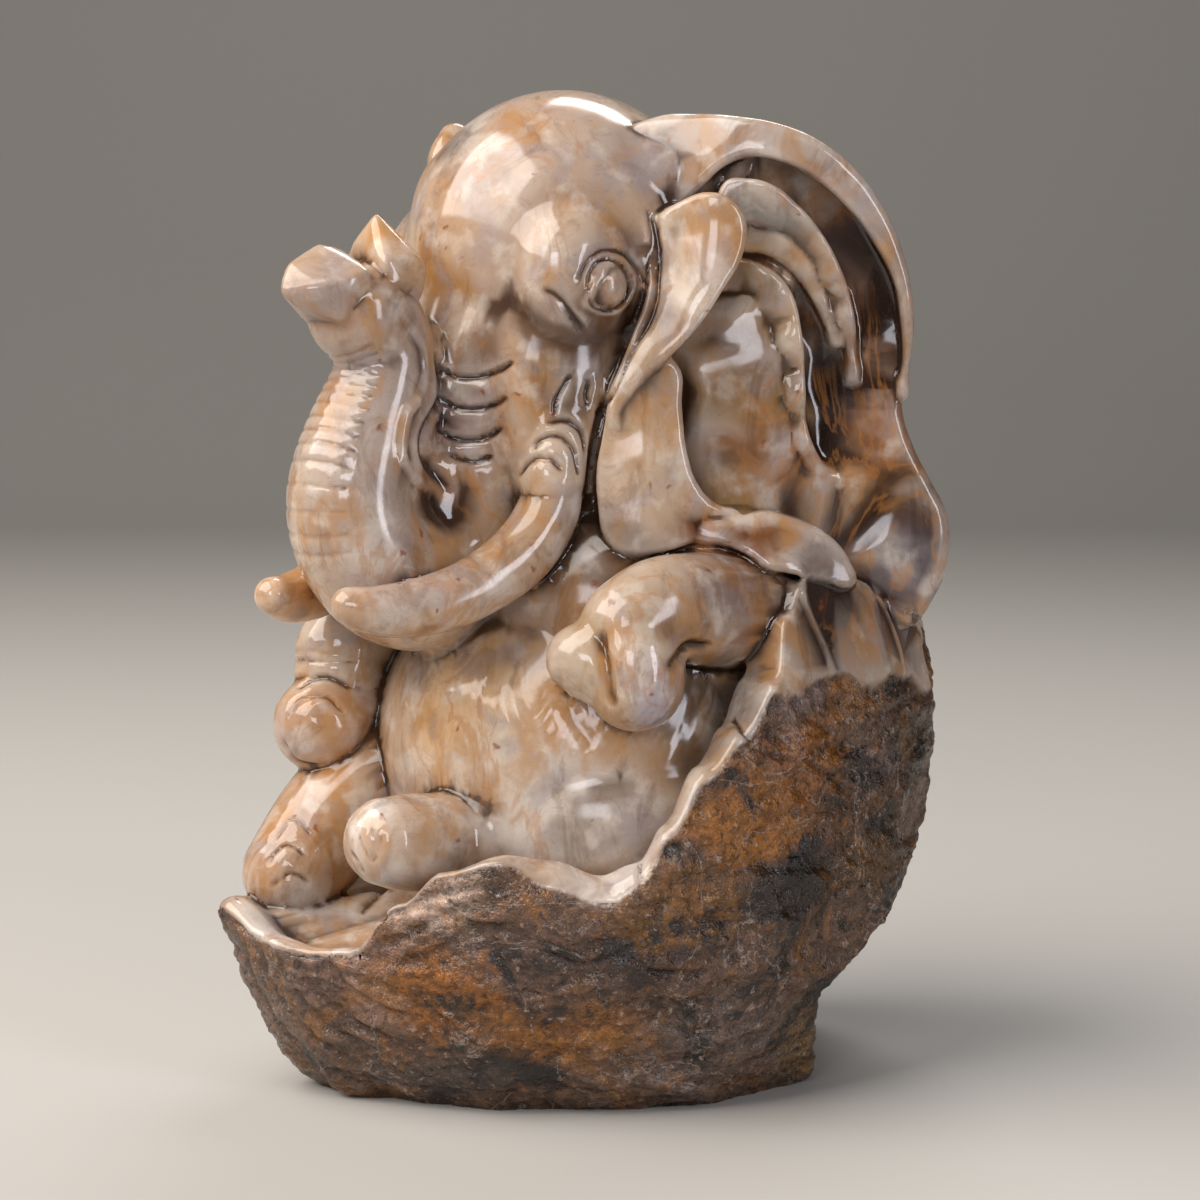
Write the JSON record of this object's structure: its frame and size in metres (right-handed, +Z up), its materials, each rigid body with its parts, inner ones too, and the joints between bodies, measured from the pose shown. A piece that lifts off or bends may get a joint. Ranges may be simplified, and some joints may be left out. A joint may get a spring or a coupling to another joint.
{
  "type": "elephant carving",
  "caption": "Polished chalcedony statue of a seated elephant with its trunk curled up, carved out of a rough boulder that stays round its lower half and stands flat.",
  "frame": {"origin": "in the flat underside, near the middle of the carving seen from above", "axes": "+Z up, -Y towards a viewer of the display side, +X to that viewer's right"},
  "size_m": [0.1319, 0.1077, 0.1803],
  "materials": {
    "chalcedony": "polished cream, tan and grey chalcedony, with brown ochre rind left rough round the lower half"
  },
  "bodies": {
    "root": {"elephant_carving": "chalcedony"}
  },
  "joints": []
}
